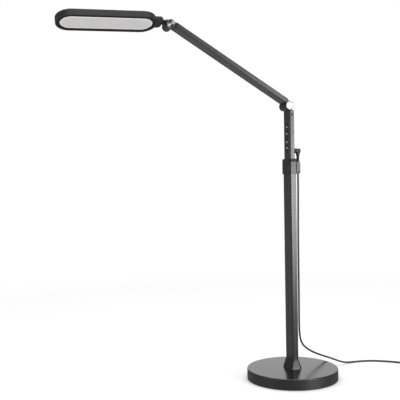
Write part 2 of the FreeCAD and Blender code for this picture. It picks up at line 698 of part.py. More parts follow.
def head_screws():
    screws = []
    for x, y in head_screw_places():
        shank = rod(SCREW_R, TOP - 1.0 - TONGUE_Z[0], V(x, y, TONGUE_Z[0]), Z)
        head = rod(2.8, 1.4, V(x, y, TONGUE_Z[0] - 1.4), Z)
        screws.append(shank.fuse(head).removeSplitter())
    return screws


# ---- cord ----


def tube(route, name):
    """A round tube along straight runs and tangent arcs, each arc as large as its runs allow."""
    points = [V(*p) for p in route]
    radii, edges = [], []
    start = points[0]
    for before, here, after in zip(points, points[1:], points[2:]):
        inward, outward = (before - here), (after - here)
        run = min(inward.Length, outward.Length)
        turn = math.pi - inward.getAngle(outward)
        radius = 0.45 * run / math.tan(turn / 2)
        radii.append(radius)
        inward.normalize()
        outward.normalize()
        a, b = here + inward * (0.45 * run), here + outward * (0.45 * run)
        bisector = inward + outward
        bisector.normalize()
        middle = here + bisector * (radius / math.cos(turn / 2) - radius)
        edges.append(Part.LineSegment(start, a).toShape())
        edges.append(Part.Arc(a, middle, b).toShape())
        start = b
    edges.append(Part.LineSegment(start, points[-1]).toShape())
    path = Part.Wire(edges)
    section = Part.Wire(Part.makeCircle(CORD_D / 2, points[0], points[1] - points[0]))
    solid = path.makePipeShell([section], True, False)
    expected = math.pi * (CORD_D / 2) ** 2 * path.Length
    print(name, "length", round(path.Length, 1), "radii", [round(r) for r in radii])
    print(name, "volume over section x length", round(solid.Volume / expected, 4))
    return solid


TIE_W, TIE_T = 10.0, 1.3


def cord_coil():
    return ring(COIL_OUTER, COIL_INNER, COIL_H, COIL_CENTRE, Z)


def cord_tie():
    """A soft strap round the turns on the coil's -X side."""
    middle = COIL_CENTRE.x - (COIL_INNER + COIL_OUTER) / 2
    reach = (COIL_OUTER - COIL_INNER) / 2
    x0, x1 = middle - reach - TIE_T, middle + reach + TIE_T
    y0, y1 = COIL_CENTRE.y - TIE_W / 2, COIL_CENTRE.y + TIE_W / 2
    outside = block(x0, x1, y0, y1, 0.0, COIL_H + TIE_T)
    outside = outside.makeFillet(1.2, [e for e in outside.Edges if e.BoundBox.YLength > 5])
    return outside.cut(cord_coil())


# The plug lies flat on the floor beside the coil and points to -X.
PLUG = FreeCAD.Placement(PLUG_AT, FreeCAD.Rotation(Z, 180.0))
PLUG_L, PLUG_W, PLUG_T = 34.0, 26.0, 13.6
PIN_LENGTH = 19.0
PLUG_PIN_R = 2.0
PIN_SPACING = 18.6


def plug_body():
    """A slim two-pin plug: round at the cord, wide and flat at its face."""
    nose = Part.makeCone(3.6, 5.6, 12.0, V(0, 0, 0), X)
    half = PLUG_W / 2
    outline = [(9.0, -5.0), (17.0, -half), (PLUG_L, -half), (PLUG_L, half), (17.0, half), (9.0, 5.0)]
    grip = prism(outline, V(0, 0, -PLUG_T / 2), X, Y, Z * PLUG_T)
    boxes = [(e, e.BoundBox) for e in grip.Edges]
    round_edges = [e for e, box in boxes if box.ZLength < TINY and box.XMin < PLUG_L - TINY]
    grip = grip.makeFillet(2.0, round_edges)
    body = grip.fuse(nose).removeSplitter()
    for y in (-PIN_SPACING / 2, PIN_SPACING / 2):
        body = body.cut(rod(PLUG_PIN_R, 8, V(PLUG_L - 8, y, 0), X))
    return body


def plug_pins():
    pins = []
    for y in (-PIN_SPACING / 2, PIN_SPACING / 2):
        pin = rod(PLUG_PIN_R, PIN_LENGTH + 8, V(PLUG_L - 8, y, 0), X)
        tip = [e for e in pin.Edges if e.BoundBox.XMin > PLUG_L + PIN_LENGTH - TINY]
        pins.append(pin.makeFillet(0.9, tip))
    return pins


# ---- every node ----

FIXED = {
    "base_pad": base_pad,
    "base_weight": base_weight,
    "base_cover": base_cover,
    "base_bolt": base_bolt,
    "base_washer": base_washer,
    "foot_socket": foot_socket,
    "mast_base_block": mast_base_block,
    "lower_mast": lower_mast,
    "collar_body": collar_body,
    "collar_liner": collar_liner,
    "clamp_pad": clamp_pad,
    "lever_pin": lever_pin,
    "collar_screws": collar_screws,
    "clamp_lever": clamp_lever,
    "upper_mast": upper_mast,
    "mast_guide": mast_guide,
    "touch_panel": touch_panel,
    "touch_marks": touch_marks,
    "touch_board": touch_board,
    "cord_gland": cord_gland,
    "gland_nut": gland_nut,
    "cord_boot": cord_boot,
    "elbow_knuckle": elbow_knuckle,
    "knuckle_screws": knuckle_screws,
    "mast_lead": mast_lead,
    "cord_coil": cord_coil,
    "cord_tie": cord_tie,
}
ON_ARM = {
    "arm_tube": arm_tube,
    "arm_lead": arm_lead,
    "arm_lower_fork": arm_lower_fork,
    "arm_upper_fork": arm_upper_fork,
}
ON_NECK = {"neck_knuckle": neck_knuckle, "swivel_washer": swivel_washer}
ON_HEAD = {
    "neck_bracket": neck_bracket,
    "swivel_nut": swivel_nut,
    "head_shell": head_shell,
    "head_bezel": head_bezel,
    "diffuser": diffuser,
    "light_guide": light_guide,
    "reflector": reflector,
    "led_board": led_board,
    "led_chips": led_chips,
    "head_screws": head_screws,
}
ON_PLUG = {"plug_body": plug_body, "plug_pins": plug_pins}


def solids_of(made):
    return made if isinstance(made, list) else [made]


def main():
    os.makedirs("parts", exist_ok=True)
    for name, make in FIXED.items():
        save(name, *solids_of(make()))
    groups = ((ARM, ON_ARM), (NECK, ON_NECK), (HEAD, ON_HEAD), (PLUG, ON_PLUG))
    for frame, group in groups:
        for name, make in group.items():
            save(name, *[placed(s, frame) for s in solids_of(make())])
    for hinge, x in (("elbow", 0.0), ("tilt", ARM_LENGTH)):
        save(f"{hinge}_axle", placed(axle(x), ARM))
        save(f"{hinge}_nut", placed(axle_nut(x), ARM))
        save(f"{hinge}_cap_near", placed(hinge_cap(x, 1), ARM))
        save(f"{hinge}_cap_far", placed(hinge_cap(x, -1), ARM))
        save(f"{hinge}_washers", *[placed(w, ARM) for w in friction_washers(x)])
    save("cord_drop", tube(DROP_ROUTE, "cord_drop"))
    save("cord_floor", tube(FLOOR_ROUTE, "cord_floor"))
    save("cord_tail", tube(TAIL_ROUTE, "cord_tail"))
    print("tilt axis", [round(c, 2) for c in (TILT.x, TILT.y, TILT.z)])
    print("swivel axis", [round(c, 2) for c in (SWIVEL.x, SWIVEL.y, SWIVEL.z)])
    along = HEAD.Rotation.multVec(X)
    print("head direction", [round(c, 5) for c in (along.x, along.y, along.z)])


main()
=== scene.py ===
"""Looks of the adjustable arm floor lamp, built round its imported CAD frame. Metres, +Z up.

The lamp stands on the floor at the origin, with its arm and head towards -X.
"""

import json
import math

import bmesh
import bpy
from mathutils import Matrix, Vector


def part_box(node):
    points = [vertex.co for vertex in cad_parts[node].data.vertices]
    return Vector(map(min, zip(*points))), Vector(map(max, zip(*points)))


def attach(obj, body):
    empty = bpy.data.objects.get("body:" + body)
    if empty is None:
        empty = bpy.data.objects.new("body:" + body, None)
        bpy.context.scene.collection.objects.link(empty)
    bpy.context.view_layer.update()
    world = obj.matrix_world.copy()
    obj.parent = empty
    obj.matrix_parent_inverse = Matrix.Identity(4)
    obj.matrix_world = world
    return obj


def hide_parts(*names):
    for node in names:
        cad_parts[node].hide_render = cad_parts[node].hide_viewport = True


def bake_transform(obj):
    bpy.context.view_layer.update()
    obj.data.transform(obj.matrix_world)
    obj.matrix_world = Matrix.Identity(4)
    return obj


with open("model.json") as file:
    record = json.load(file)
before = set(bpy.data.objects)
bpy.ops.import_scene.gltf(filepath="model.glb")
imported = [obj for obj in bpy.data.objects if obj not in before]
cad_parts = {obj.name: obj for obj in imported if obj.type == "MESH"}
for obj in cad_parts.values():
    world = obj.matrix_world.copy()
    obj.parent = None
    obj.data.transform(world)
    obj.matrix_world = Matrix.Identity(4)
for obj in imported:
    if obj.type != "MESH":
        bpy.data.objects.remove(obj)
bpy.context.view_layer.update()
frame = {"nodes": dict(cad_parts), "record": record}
NODES = frame["nodes"]

CORD_D = 0.0055
CORD_SOLIDS = ("cord_drop", "cord_floor", "cord_coil", "cord_tail")

JOINTS = {joint["name"]: joint for joint in frame["record"]["behaviour"]["joints"]}
ELBOW = Vector(JOINTS["elbow"]["pos_m"])
TILT = Vector(JOINTS["head_tilt"]["pos_m"])
SWIVEL = Vector(JOINTS["head_swivel"]["pos_m"])
ARM_ALONG = (TILT - ELBOW).normalized()
HEAD_ROLL = math.radians(18)  # the diffuser turns towards -Y
HEAD_ALONG = Vector(JOINTS["head_swivel"]["axis"]).normalized()
HEAD_LEVEL = HEAD_ALONG.cross(Vector((0, -1, 0))).normalized()  # the head's up, before its roll
HEAD_ACROSS = Vector((0, -1, 0)) * math.cos(HEAD_ROLL) + HEAD_LEVEL * math.sin(HEAD_ROLL)
HEAD_START, HEAD_L = 0.035, 0.2675  # from the swivel's point to the shell, and the shell's length
HEAD_MIDDLE = SWIVEL + HEAD_ALONG * (HEAD_START + HEAD_L / 2)
DIFFUSER_L, DIFFUSER_W = 0.2432, 0.0572
BORDER_W, BORDER_SOFT = 0.0038, 0.0004  # the diffuser's plain edge, and how gradually it starts
CAP_EDGE_SHADE_R = (0.0112, 0.0118)  # where the painted shade at the edge of a hinge cap starts, and where it is full
CAP_GROOVE_R, CAP_GROOVE_SHADE_HALF = 0.0099, (0.0003, 0.0006)  # the cap's turned groove, whose shade is painted as a dark ring: its radius, and the ring's half widths, full and faded

# ---- camera, floor and light ----

CAMERA_AT = Vector((-0.9135, -1.8512, 0.5712))
CAMERA_YAW = math.radians(19.086)  # from +Y towards +X
CAMERA_DIP = math.radians(1.50)
CAMERA_ROLL = math.radians(-1.0)
LENS_MM = 64.35
ROOM_FRONT, ROOM_BACK = 0.45, 1.0
ROOM_RISES = (-0.6, 0.9)  # the Y of the directions between which it goes from the one to the other
ROOM_DARK, ROOM_BRIGHT = 0.24, 1.35  # the room that the lamp's sheen sees, away from and at the back right
BACK_RIGHT = (0.44, 0.90, 0.0)  # the way to the middle of that bright part
BACK_RIGHT_EDGE = (0.78, 0.95)  # cosines of the angle from it where the bright part starts and is full
FLOOR_HALF = 14.0  # from the origin to each edge
FLOOR_SHEEN = 0.3  # brightness of the floor as the lamp's sheen sees it
FLOOR_FADES = (0.5, 2.4)  # distances from the origin between which the floor turns into the room's white
LIGHT_DISTANCE = 3.2
LIGHTS_AIM = Vector((0, 0, 0.5))


def add_camera():
    """A long lens in front and to the left, at about half the lamp's height."""
    forward = Vector(
        (
            math.sin(CAMERA_YAW) * math.cos(CAMERA_DIP),
            math.cos(CAMERA_YAW) * math.cos(CAMERA_DIP),
            -math.sin(CAMERA_DIP),
        )
    )
    right = forward.cross(Vector((0, 0, 1))).normalized()
    up = right.cross(forward)
    tilted_right = right * math.cos(CAMERA_ROLL) + up * math.sin(CAMERA_ROLL)
    tilted_up = up * math.cos(CAMERA_ROLL) - right * math.sin(CAMERA_ROLL)
    turn = Matrix((tilted_right, tilted_up, -forward)).transposed()
    data = bpy.data.cameras.new("camera")
    data.lens = LENS_MM
    data.sensor_width = 36.0
    data.clip_start, data.clip_end = 0.05, 50.0
    camera = bpy.data.objects.new("camera", data)
    camera.matrix_world = Matrix.Translation(CAMERA_AT) @ turn.to_4x4()
    bpy.context.scene.collection.objects.link(camera)
    bpy.context.scene.camera = camera


def link(name, mesh):
    """A new object in the scene that shows a mesh."""
    thing = bpy.data.objects.new(name, mesh)
    bpy.context.scene.collection.objects.link(thing)
    return thing


def softbox(name, azimuth, elevation, width, height, radiance):
    """A soft area light. Azimuth 0 is at -Y and 90 at +X, as seen from the point that it faces."""
    a, e = math.radians(azimuth), math.radians(elevation)
    back = Vector((math.sin(a) * math.cos(e), -math.cos(a) * math.cos(e), math.sin(e)))
    data = bpy.data.lights.new(name, "AREA")
    data.shape = "RECTANGLE"
    data.size, data.size_y = width, height
    data.energy = radiance * math.pi * width * height
    lamp = bpy.data.objects.new(name, data)
    lamp.location = LIGHTS_AIM + back * LIGHT_DISTANCE
    lamp.rotation_mode = "QUATERNION"
    lamp.rotation_quaternion = back.to_track_quat("Z", "Y")
    bpy.context.scene.collection.objects.link(lamp)
    lamp.visible_camera = False


def add_studio():
    """Two low strips, a wide panel overhead, and a room that is brightest behind the lamp."""
    softbox("strip_right", azimuth=26, elevation=1, width=1.25, height=1.1, radiance=13.0)
    softbox("strip_left", azimuth=-82, elevation=1, width=0.95, height=1.1, radiance=3.5)
    softbox("top", azimuth=0, elevation=88, width=4.0, height=4.0, radiance=2.2)
    world = bpy.data.worlds.new("studio")
    bpy.context.scene.world = world
    world.use_nodes = True
    tree = world.node_tree
    tree.nodes.clear()
    out = tree.nodes.new("ShaderNodeOutputWorld")
    mix = tree.nodes.new("ShaderNodeMixShader")
    path = tree.nodes.new("ShaderNodeLightPath")
    room = tree.nodes.new("ShaderNodeBackground")
    seen = tree.nodes.new("ShaderNodeBackground")
    where = tree.nodes.new("ShaderNodeTexCoord")
    split = tree.nodes.new("ShaderNodeSeparateXYZ")
    tree.links.new(where.outputs["Generated"], split.inputs["Vector"])
    soft = span(tree, split.outputs["Y"], ROOM_FRONT, ROOM_BACK, *ROOM_RISES)
    toward_bright = tree.nodes.new("ShaderNodeVectorMath")
    toward_bright.operation = "DOT_PRODUCT"
    toward_bright.inputs[1].default_value = BACK_RIGHT
    tree.links.new(where.outputs["Generated"], toward_bright.inputs[0])
    patch = span(tree, toward_bright.outputs["Value"], ROOM_DARK, ROOM_BRIGHT, *BACK_RIGHT_EDGE)
    mirrored = maths(tree, "MULTIPLY", soft, patch)
    strength = add(tree, "ShaderNodeMix")
    tree.links.new(path.outputs["Is Glossy Ray"], strength.inputs["Factor"])
    tree.links.new(soft, strength.inputs["A"])
    tree.links.new(mirrored, strength.inputs["B"])
    tree.links.new(strength.outputs["Result"], room.inputs["Strength"])
    seen.inputs["Color"].default_value = (1.0, 1.0, 1.0, 1.0)
    seen.inputs["Strength"].default_value = 1.0
    tree.links.new(path.outputs["Is Camera Ray"], mix.inputs["Fac"])
    tree.links.new(room.outputs["Background"], mix.inputs[1])
    tree.links.new(seen.outputs["Background"], mix.inputs[2])
    tree.links.new(mix.outputs["Shader"], out.inputs["Surface"])
    bpy.context.scene.view_settings.view_transform = "Standard"


def add_floor():
    """A pale sheet that fades into the white room well behind the lamp."""
    mesh = bpy.data.meshes.new("floor")
    corners = [(x * FLOOR_HALF, y * FLOOR_HALF, 0) for x, y in ((-1, -1), (1, -1), (1, 1), (-1, 1))]
    mesh.from_pydata(corners, [], [(0, 1, 2, 3)])
    floor = link("floor", mesh)
    made = new_material("floor_paper")
    tree, shader = made["tree"], made["shader"]
    shader.inputs["Base Color"].default_value = (0.93, 0.93, 0.93, 1)
    shader.inputs["Roughness"].default_value = 0.9
    shader.inputs["Specular IOR Level"].default_value = 0.1
    where = tree.nodes.new("ShaderNodeTexCoord")
    length = tree.nodes.new("ShaderNodeVectorMath")
    length.operation = "LENGTH"
    tree.links.new(where.outputs["Object"], length.inputs[0])
    far = span(tree, length.outputs["Value"], 0.0, 1.0, *FLOOR_FADES)
    glow = add(tree, "ShaderNodeEmission", Color=(1, 1, 1, 1), Strength=1.0)
    blend = tree.nodes.new("ShaderNodeMixShader")
    out = next(n for n in tree.nodes if n.type == "OUTPUT_MATERIAL")
    path = tree.nodes.new("ShaderNodeLightPath")
    dim = add(tree, "ShaderNodeEmission", Color=(1, 1, 1, 1), Strength=FLOOR_SHEEN)
    sheen = tree.nodes.new("ShaderNodeMixShader")
    tree.links.new(far, blend.inputs["Fac"])
    tree.links.new(shader.outputs["BSDF"], blend.inputs[1])
    tree.links.new(glow.outputs["Emission"], blend.inputs[2])
    tree.links.new(path.outputs["Is Glossy Ray"], sheen.inputs["Fac"])
    tree.links.new(blend.outputs["Shader"], sheen.inputs[1])
    tree.links.new(dim.outputs["Emission"], sheen.inputs[2])
    tree.links.new(sheen.outputs["Shader"], out.inputs["Surface"])
    mesh.materials.append(made["material"])


# ---- materials ----


def new_material(name):
    """A material with its node tree and its shader, as a small dictionary."""
    material = bpy.data.materials.new(name)
    material.use_nodes = True
    tree = material.node_tree
    shader = next(n for n in tree.nodes if n.type == "BSDF_PRINCIPLED")
    return {"material": material, "tree": tree, "shader": shader}


def add(tree, kind, **values):
    """A new node, with named inputs set to plain values."""
    node = tree.nodes.new(kind)
    for key, value in values.items():
        node.inputs[key.replace("_", " ")].default_value = value
    return node


def object_coordinates(tree, scale=(1, 1, 1)):
    where = tree.nodes.new("ShaderNodeTexCoord")
    mapping = tree.nodes.new("ShaderNodeMapping")
    mapping.inputs["Scale"].default_value = scale
    tree.links.new(where.outputs["Object"], mapping.inputs["Vector"])
    return mapping.outputs["Vector"]


def noise(tree, vector, scale, detail=4.0, roughness=0.6):
    node = add(tree, "ShaderNodeTexNoise", Scale=scale, Detail=detail, Roughness=roughness)
    tree.links.new(vector, node.inputs["Vector"])
    return node.outputs["Fac"]


def ramp(tree, value, low, high, from_low=0.3, from_high=0.7):
    """A value turned into a colour between two."""
    node = tree.nodes.new("ShaderNodeValToRGB")
    node.color_ramp.elements[0].position, node.color_ramp.elements[0].color = from_low, (*low, 1)
    node.color_ramp.elements[1].position, node.color_ramp.elements[1].color = from_high, (*high, 1)
    tree.links.new(value, node.inputs["Fac"])
    return node.outputs["Color"]


def span(tree, value, low, high, from_low=0.3, from_high=0.7):
    """A value moved from one range to another, and held inside it."""
    node = add(tree, "ShaderNodeMapRange", From_Min=from_low, From_Max=from_high, To_Min=low, To_Max=high)
    tree.links.new(value, node.inputs["Value"])
    return node.outputs["Result"]


def bump(tree, height, strength, distance, normal):
    node = add(tree, "ShaderNodeBump", Strength=strength, Distance=distance)
    tree.links.new(height, node.inputs["Height"])
    tree.links.new(normal, node.inputs["Normal"])
    return node.outputs["Normal"]


def local_coordinates(tree, origin, along, across, scale=(1, 1, 1)):
    """Coordinates with x along a piece and y across it, from a point on it, each then scaled."""
    upward = along.cross(across)
    inverse = Matrix((along, across, upward))
    where = tree.nodes.new("ShaderNodeTexCoord")
    turn = tree.nodes.new("ShaderNodeMapping")
    turn.inputs["Rotation"].default_value = inverse.to_euler("XYZ")
    turn.inputs["Location"].default_value = -(inverse @ origin)
    stretch = tree.nodes.new("ShaderNodeMapping")
    stretch.inputs["Scale"].default_value = scale
    tree.links.new(where.outputs["Object"], turn.inputs["Vector"])
    tree.links.new(turn.outputs["Vector"], stretch.inputs["Vector"])
    return stretch.outputs["Vector"]


def maths(tree, operation, a, b=None):
    """One step of arithmetic on values or sockets."""
    node = tree.nodes.new("ShaderNodeMath")
    node.operation = operation
    for socket, value in zip(node.inputs, (a, b)):
        if value is None:
            continue
        if isinstance(value, (int, float)):
            socket.default_value = value
        else:
            tree.links.new(value, socket)
    return node.outputs["Value"]


def eased_edges(tree, radius):
    """A normal that rounds the sharp edges a little."""
    node = tree.nodes.new("ShaderNodeBevel")
    node.samples = 4
    node.inputs["Radius"].default_value = radius
    return node.outputs["Normal"]


def finish_surface(made, colour, rough, height, depth, strength=0.3, edge=0.0003):
    """Colour, roughness and a bump over eased edges, on one shader."""
    tree, shader = made["tree"], made["shader"]
    tree.links.new(colour, shader.inputs["Base Color"])
    tree.links.new(rough, shader.inputs["Roughness"])
    tree.links.new(bump(tree, height, strength, depth, eased_edges(tree, edge)), shader.inputs["Normal"])


def grey(level):
    return (level, level, level * 1.03)


def plain(name, low, high, roughness, grain, specular=0.5, metallic=0.0, depth=0.00004, strength=0.25):
    """A moulded, cast or painted surface: broad tone and fine grain."""
    made = new_material(name)
    tree, shader = made["tree"], made["shader"]
    here = object_coordinates(tree)
    fine = noise(tree, here, grain)
    broad = noise(tree, here, 14.0, 2.0)
    colour = ramp(tree, broad, low, high)
    rough = span(tree, fine, roughness - 0.05, roughness + 0.05)
    finish_surface(made, colour, rough, fine, depth, strength)
    shader.inputs["Specular IOR Level"].default_value = specular
    shader.inputs["Metallic"].default_value = metallic
    return made["material"]


def extrusion(name, origin, along, across, low, high, specular):
    """Black anodised profile: die lines that run its whole length, of several widths."""
    made = new_material(name)
    tree, shader = made["tree"], made["shader"]
    hairs = noise(tree, local_coordinates(tree, origin, along, across, (1.5, 1400, 1400)), 1.0, 3.0)
    bands = noise(tree, local_coordinates(tree, origin, along, across, (0.4, 190, 190)), 1.0, 2.0)
    cloud = noise(tree, object_coordinates(tree), 9.0, 2.0)
    tone = maths(tree, "ADD", maths(tree, "MULTIPLY", bands, 0.7), maths(tree, "MULTIPLY", cloud, 0.3))
    colour = ramp(tree, tone, grey(low), grey(high), 0.4, 0.6)
    rough = maths(tree, "ADD", span(tree, bands, 0.25, 0.4), span(tree, hairs, -0.04, 0.05))
    finish_surface(made, colour, rough, hairs, 0.00001, 0.15)
    shader.inputs["Anisotropic"].default_value = 0.35
    shader.inputs["Specular IOR Level"].default_value = specular
    return made["material"]


def gloss_paint(name):
    """Smooth black powder coat with a faint orange peel, shinier on top than on the side."""
    made = new_material(name)
    tree, shader = made["tree"], made["shader"]
    here = object_coordinates(tree)
    peel = noise(tree, here, 420.0, 2.0, 0.45)
    dust = noise(tree, here, 2600.0, 2.0)
    broad = noise(tree, here, 11.0, 2.0)
    colour = ramp(tree, broad, grey(0.007), grey(0.010))
    geometry = tree.nodes.new("ShaderNodeNewGeometry")
    facing = tree.nodes.new("ShaderNodeSeparateXYZ")
    tree.links.new(geometry.outputs["Normal"], facing.inputs["Vector"])
    side_roughness, top_roughness = 0.42, 0.2
    coarse = span(tree, facing.outputs["Z"], side_roughness, top_roughness, 0.1, 0.9)
    rough = maths(tree, "ADD", coarse, span(tree, dust, -0.02, 0.03))
    finish_surface(made, colour, rough, peel, 0.00003, 0.12, 0.0006)
    shader.inputs["Specular IOR Level"].default_value = 0.85
    return made["material"]


def steel_finish(name, level, roughness):
    """Plated metal with short brush marks."""
    made = new_material(name)
    tree, shader = made["tree"], made["shader"]
    brushed = noise(tree, object_coordinates(tree, (900, 900, 90)), 1.0, 3.0)
    colour = ramp(tree, brushed, grey(level * 0.82), grey(level))
    rough = span(tree, brushed, roughness - 0.07, roughness + 0.1)
    finish_surface(made, colour, rough, brushed, 0.00002)
    shader.inputs["Metallic"].default_value = 1.0
    return made["material"]


def turned_metal(name, node):
    """Bright aluminium turned on a lathe: fine rings about the cap's own axis, which lies along Y."""
    made = new_material(name)
    tree, shader = made["tree"], made["shader"]
    low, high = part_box(node)
    centred = tree.nodes.new("ShaderNodeMapping")
    centred.inputs["Location"].default_value = -(Vector(low) + Vector(high)) / 2
    where = tree.nodes.new("ShaderNodeTexCoord")
    tree.links.new(where.outputs["Object"], centred.inputs["Vector"])
    rings = add(tree, "ShaderNodeTexWave", Scale=900.0, Distortion=1.5, Detail=2.0, Detail_Scale=0.5)
    rings.wave_type = "RINGS"
    rings.rings_direction = "Y"
    tree.links.new(centred.outputs["Vector"], rings.inputs["Vector"])
    fine = noise(tree, centred.outputs["Vector"], 700.0)
    bright = ramp(tree, fine, grey(0.32), grey(0.37))
    flat = tree.nodes.new("ShaderNodeVectorMath")
    flat.operation = "MULTIPLY"
    flat.inputs[1].default_value = (1, 0, 1)
    tree.links.new(centred.outputs["Vector"], flat.inputs[0])
    radius = tree.nodes.new("ShaderNodeVectorMath")
    radius.operation = "LENGTH"
    tree.links.new(flat.outputs["Vector"], radius.inputs[0])
    # painted shade: a dark ring at the cap's edge, and a thin one along its turned groove
    edge_shade = span(tree, radius.outputs["Value"], 0.0, 1.0, *CAP_EDGE_SHADE_R)
    off_groove = maths(tree, "ABSOLUTE", maths(tree, "SUBTRACT", radius.outputs["Value"], CAP_GROOVE_R))
    groove_shade = span(tree, off_groove, 0.8, 0.0, *CAP_GROOVE_SHADE_HALF)
    mix = tree.nodes.new("ShaderNodeMix")
    mix.data_type = "RGBA"
    tree.links.new(maths(tree, "MAXIMUM", edge_shade, groove_shade), mix.inputs["Factor"])
    tree.links.new(bright, mix.inputs["A"])
    # the dark colour of that painted shade
    mix.inputs["B"].default_value = (0.09, 0.09, 0.092, 1)
    rough = span(tree, fine, 0.3, 0.36)
    finish_surface(made, mix.outputs["Result"], rough, rings.outputs["Fac"], 0.00002, 0.2)
    tangent = tree.nodes.new("ShaderNodeTangent")
    tangent.direction_type = "RADIAL"
    tangent.axis = "Y"
    tree.links.new(tangent.outputs["Tangent"], shader.inputs["Tangent"])
    shader.inputs["Metallic"].default_value = 1.0
    shader.inputs["Anisotropic"].default_value = 0.85
    return made["material"]


def stadium_distance(tree, vector, half_straight):
    """Distance from the middle line of a long shape with round ends, which lies along x."""
    split = tree.nodes.new("ShaderNodeSeparateXYZ")
    tree.links.new(vector, split.inputs["Vector"])
    off_middle = maths(tree, "ABSOLUTE", split.outputs["X"])
    past_end = maths(tree, "MAXIMUM", maths(tree, "SUBTRACT", off_middle, half_straight), 0.0)
    along, across = maths(tree, "POWER", past_end, 2.0), maths(tree, "POWER", split.outputs["Y"], 2.0)
    return maths(tree, "SQRT", maths(tree, "ADD", along, across))


def opal(name):
    """The diffuser: milky, with a field of tiny lens dots inside a plain paler border."""
    made = new_material(name)
    tree, shader = made["tree"], made["shader"]
    here = local_coordinates(tree, HEAD_MIDDLE, HEAD_ALONG, HEAD_ACROSS)
    distance = stadium_distance(tree, here, DIFFUSER_L / 2 - DIFFUSER_W / 2)
    border_from = DIFFUSER_W / 2 - BORDER_W
    border = span(tree, distance, 0.0, 1.0, border_from - BORDER_SOFT, border_from + BORDER_SOFT)
    dots = add(tree, "ShaderNodeTexVoronoi", Scale=780.0, Randomness=0.15)
    tree.links.new(here, dots.inputs["Vector"])
    cloud = noise(tree, here, 22.0, 2.0)
    field = ramp(tree, cloud, (0.475, 0.467, 0.463), (0.50, 0.494, 0.488))
    mix = tree.nodes.new("ShaderNodeMix")
    mix.data_type = "RGBA"
    tree.links.new(border, mix.inputs["Factor"])
    tree.links.new(field, mix.inputs["A"])
    mix.inputs["B"].default_value = (0.66, 0.66, 0.655, 1)
    inside = maths(tree, "SUBTRACT", 1.0, border)
    height = maths(tree, "MULTIPLY", dots.outputs["Distance"], inside)
    finish_surface(made, mix.outputs["Result"], span(tree, cloud, 0.34, 0.42), height, 0.0001, 0.25)
    shader.inputs["Subsurface Weight"].default_value = 0.12
    shader.inputs["Subsurface Radius"].default_value = (0.002, 0.002, 0.002)
    shader.inputs["Specular IOR Level"].default_value = 0.35
    return made["material"]


def circuit(name):
    """Green solder mask with darker traces under it."""
    made = new_material(name)
    tree, shader = made["tree"], made["shader"]
    traces = add(tree, "ShaderNodeTexBrick", Scale=420.0, Mortar_Size=0.05)
    traces.inputs["Color1"].default_value = (0.015, 0.13, 0.05, 1)
    traces.inputs["Color2"].default_value = (0.02, 0.16, 0.065, 1)
    traces.inputs["Mortar"].default_value = (0.06, 0.26, 0.12, 1)
    here = object_coordinates(tree)
    tree.links.new(here, traces.inputs["Vector"])
    fine = noise(tree, here, 900.0)
    rough = span(tree, fine, 0.28, 0.36)
    finish_surface(made, traces.outputs["Color"], rough, traces.outputs["Fac"], 0.00003)
    return made["material"]


def clear_acrylic(name):
    """The light guide: clear, with a frosted face of printed dots."""
    made = new_material(name)
    tree, shader = made["tree"], made["shader"]
    here = object_coordinates(tree)
    dots = add(tree, "ShaderNodeTexVoronoi", Scale=500.0, Randomness=0.1)
    tree.links.new(here, dots.inputs["Vector"])
    colour = ramp(tree, dots.outputs["Distance"], (0.78, 0.8, 0.8), (0.9, 0.92, 0.92), 0.2, 0.5)
    rough = span(tree, dots.outputs["Distance"], 0.3, 0.08, 0.1, 0.5)
    finish_surface(made, colour, rough, dots.outputs["Distance"], 0.00005)
    shader.inputs["Transmission Weight"].default_value = 0.6
    return made["material"]


def woven(name):
    """Black webbing: fine threads across and along the band."""
    made = new_material(name)
    tree, shader = made["tree"], made["shader"]
    here = object_coordinates(tree)
    across = add(tree, "ShaderNodeTexWave", Scale=420.0, Distortion=0.6, Detail=1.0)
    across.bands_direction = "Y"
    along = add(tree, "ShaderNodeTexWave", Scale=420.0, Distortion=0.6, Detail=1.0)
    along.bands_direction = "X"
    tree.links.new(here, across.inputs["Vector"])
    tree.links.new(here, along.inputs["Vector"])
    weave = maths(tree, "MULTIPLY", across.outputs["Fac"], along.outputs["Fac"])
    colour = ramp(tree, weave, grey(0.010), grey(0.024), 0.1, 0.9)
    finish_surface(made, colour, span(tree, weave, 0.6, 0.8, 0.0, 1.0), weave, 0.0001, 0.6)
    shader.inputs["Specular IOR Level"].default_value = 0.3
    return made["material"]


def paint(node, material):
    """Give a CAD node, or a piece, one material."""
    thing = NODES[node] if isinstance(node, str) else node
    thing.data.materials.clear()
    thing.data.materials.append(material)


